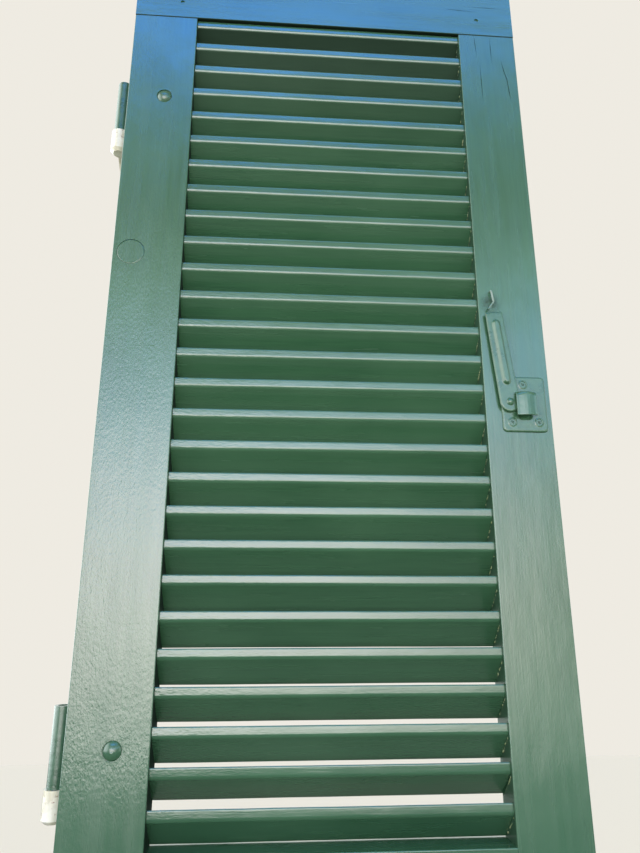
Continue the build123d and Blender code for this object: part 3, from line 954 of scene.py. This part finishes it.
# %% Hood
def make_hood():
    """A tongue pressed out of the plate: joined to it at the top, free at its sides and foot."""
    near_top = hood_fall - hood_margin

    def open_side(face):
        return face.normal.y > facing or face.normal.z < -facing or abs(face.normal.x) > facing

    def top_bend(edge):
        return all(end.y < -hood_margin and end.z > near_top for end in ends(hood, edge))
    hood = block("hood", (-hood_half, -hood_stand, 0), (hood_half, hood_root, hood_fall))
    choose(hood, "FACE", open_side)
    bpy.ops.mesh.delete(type="FACE")
    leave_edit()
    round_corners(hood, top_bend, hood_bend, hood_bend_steps)
    choose(hood, "VERT", lambda vertex: vertex.co.y > 0 and vertex.co.z > near_top)
    bpy.ops.transform.resize(value=(root_half / hood_half, 1, 1), center_override=(0, 0, 0))
    leave_edit()
    choose(hood, "EDGE", lambda edge: True)
    bpy.ops.mesh.subdivide(number_cuts=hood_cuts)
    leave_edit()
    add_modifier(hood, "CAST", cast_type="CYLINDER", factor=hood_roundness,
                 radius=hood_round_radius, size=hood_round_radius,
                 use_radius_as_size=False, use_z=False)
    add_modifier(hood, "SOLIDIFY", thickness=iron, offset=-1.0)
    work_on(hood)
    bpy.ops.transform.translate(value=(plate_x, plate_front, hood_top - hood_fall))
    settle(hood)
    return hood


# %% Latch plate
def make_ring(place):
    """The ring of paint that gathered round a screw head."""
    bpy.ops.object.select_all(action="DESELECT")
    bpy.ops.mesh.primitive_torus_add(major_radius=ring_radius, minor_radius=ring_thickness,
                                     major_segments=round_sides, minor_segments=8,
                                     location=(place[0], plate_front, place[1]),
                                     rotation=(math.pi / 2, 0, 0))
    made = bpy.context.active_object
    settle(made)
    return made


def make_plate():
    plate = block("latch_face", (plate_low.x, plate_front, plate_low.z),
                  (plate_high.x, leaf_front, plate_high.z))
    round_corners(plate, along_depth(plate), plate_corner)
    round_corners(plate, front_rim(plate, plate_front), plate_edge, rolled_steps)
    window = block("window",
                   (plate_x - window_half, plate_front - tool_reach, hood_top - window_fall),
                   (plate_x + window_half, leaf_front + tool_reach, hood_top - window_drop))
    round_corners(window, along_depth(window), window_corner)
    cut_away(plate, window)
    rings = [make_ring(place) for place in screw_places]
    join_pieces(plate, make_hood(), *rings)
    flow_paint(plate, film, film_passes)
    sinks = [round_bar("sink", place, sink_radius, plate_front - plate_skin,
                       leaf_front + plate_skin, round_sides, sink_end_radius)
             for place in screw_places]
    bore = round_bar("bore", (rivet_x, rivet_z), rivet_bore, leaf_front + tool_reach,
                     plate_front - plate_skin)
    cut_away(plate, join_pieces(bore, *sinks))
    rooms = [round_bar("room", place, sink_radius, plate_front - tool_reach,
                       plate_front - plate_skin, round_sides)
             for place in screw_places]
    cut_away(plate, join_pieces(*rooms))
    return plate


plate = make_plate()
paint_piece(plate, metal_paint)
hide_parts("latch_plate")
print("plate", len(plate.data.polygons), "faces")

# %% [markdown]
# Three sunk wood screws hold the plate. Their cross recesses catch the light, so they are cut
# for real, as two crossed slots and a pit. The heads stay out of the remesh, because it would
# smear a recess this small.

# %% Latch screws
head_front = plate_front + 0.0002
head_back = plate_front + 0.0024
head_end_radius = 0.002
cross_turns = (38, 128)
cross_low = (-0.0022, -0.002, -0.00065)
cross_high = (0.0022, 0.0015, 0.00065)
pit_radius, pit_end_radius = 0.0014, 0.0006
pit_bottom = plate_front + 0.0021
shank_radius, tip_radius = 0.0019, 0.0003
shank_start = plate_front + 0.0022
point_length = 0.005
thin_sides = 24


def make_screw(place):
    """A sunk screw with a cross recess that paint has half filled."""
    head = round_bar("screw", place, screw_radius, head_front, head_back, round_sides,
                     head_end_radius)
    for turn in cross_turns:
        slot = block("slot", cross_low, cross_high)
        work_on(slot)
        bpy.ops.transform.rotate(value=math.radians(turn), orient_axis="Y",
                                 center_override=(0, 0, 0))
        bpy.ops.transform.translate(value=(place[0], plate_front, place[1]))
        settle(slot)
        cut_away(head, slot)
    cut_away(head, round_bar("pit", place, pit_radius, plate_front - plate_skin, pit_bottom,
                             thin_sides, pit_end_radius))
    shank_end = screw_end - point_length
    shank = round_bar("shank", place, shank_radius, shank_start, shank_end, thin_sides)
    point = round_bar("point", place, shank_radius, shank_end, screw_end, thin_sides, tip_radius)
    return join_pieces(head, shank, point)


screws = join_pieces(*[make_screw(place) for place in screw_places])
screws.name = "cross_screws"
bpy.ops.object.shade_smooth_by_angle(angle=smooth_below)
paint_piece(screws, metal_paint)
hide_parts("latch_screws")
print("screws", len(screws.data.polygons), "faces")

# %% [markdown]
# The round plug in the hinge stile was let in flush, and its softened edge leaves a fine dark
# ring. Its flat face is shaded apart from the narrow bevel, or the plug would look domed.

# %% Plug
plug_edge = 0.0012
plug_edge_steps = 2
plug_sides = 96
plug_smooth_below = math.radians(20)
plug_low, plug_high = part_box("stile_plug")
plug_radius = (plug_high.x - plug_low.x) / 2
plug_place = ((plug_low.x + plug_high.x) / 2, (plug_low.z + plug_high.z) / 2)
plug = round_bar("let_in_plug", plug_place, plug_radius, plug_low.y, plug_high.y, plug_sides)
round_corners(plug, front_rim(plug, plug_low.y), plug_edge, plug_edge_steps)
work_on(plug)
bpy.ops.object.shade_smooth_by_angle(angle=plug_smooth_below)
paint_piece(plug, upright_paint)
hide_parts("stile_plug")
print("plug", len(plug.data.polygons), "faces")

# %% [markdown]
# Where each slat meets the meeting stile, the brush left small beads of paint. One bead is
# copied, and each copy is stretched and placed by chance along the slat's end, always by the
# same chance, because the draws are seeded.

# %% Beads of paint
bead_seed = 5
beads_per_slat = 9
bead_share = (0.05, 0.75)
bead_size = (0.00035, 0.00095)
bead_width = 0.8
bead_stretch = (1.0, 2.4)
bead_stand = 0.3
bead_sag = (0.0, 0.0015)
right_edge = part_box("meeting_stile")[0].x


def make_beads():
    random.seed(bead_seed)
    bpy.ops.object.select_all(action="DESELECT")
    bpy.ops.mesh.primitive_ico_sphere_add(subdivisions=2, radius=1)
    model = bpy.context.active_object
    made = []
    for index in range(slat_count):
        low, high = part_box(f"slat_{index + 1:02d}")
        for _ in range(beads_per_slat):
            share = random.uniform(*bead_share)
            size = random.uniform(*bead_size)
            bead = copy_of(model, "bead")
            bpy.ops.transform.resize(value=(size * bead_width,
                                            size * random.uniform(*bead_stretch), size))
            bpy.ops.transform.rotate(value=slat_slope, orient_axis="X")
            drop = nose_height + share * slat_fall
            bpy.ops.transform.translate(value=(right_edge - size * bead_stand,
                                               low.y + share * slat_run,
                                               high.z - drop - random.uniform(*bead_sag)))
            settle(bead)
            made.append(bead)
    bpy.data.objects.remove(model)
    return join_pieces(*made)


beads = make_beads()
beads.name = "paint_beads"
bpy.ops.object.shade_smooth()
paint_piece(beads, bead_paint)
print("beads", slat_count * beads_per_slat)

# %% [markdown]
# The other pieces keep the frame's own solids and only get their paint. So do the solids that
# a modelled piece replaces, because every node has to have a finish.

# %% Paint the CAD nodes
paint_of_node = {"hinge_stile": upright_paint, "meeting_stile": upright_paint,
                 "top_rail": level_paint, "bottom_rail": level_paint, "stile_plug": upright_paint,
                 "lever_keeper": keeper_paint,
                 "lower_pintle": cream_paint, "upper_pintle": cream_paint,
                 "lower_pintle_pin": steel, "upper_pintle_pin": steel}
for name, node in nodes.items():
    material = level_paint if name.startswith("slat_") else paint_of_node.get(name, metal_paint)
    for slot in node.material_slots:
        slot.material = material
print("painted", len(nodes), "CAD nodes")

# %% [markdown]
# Last, the box of all that is seen is measured.

# %% Measure what is seen
low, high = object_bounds()
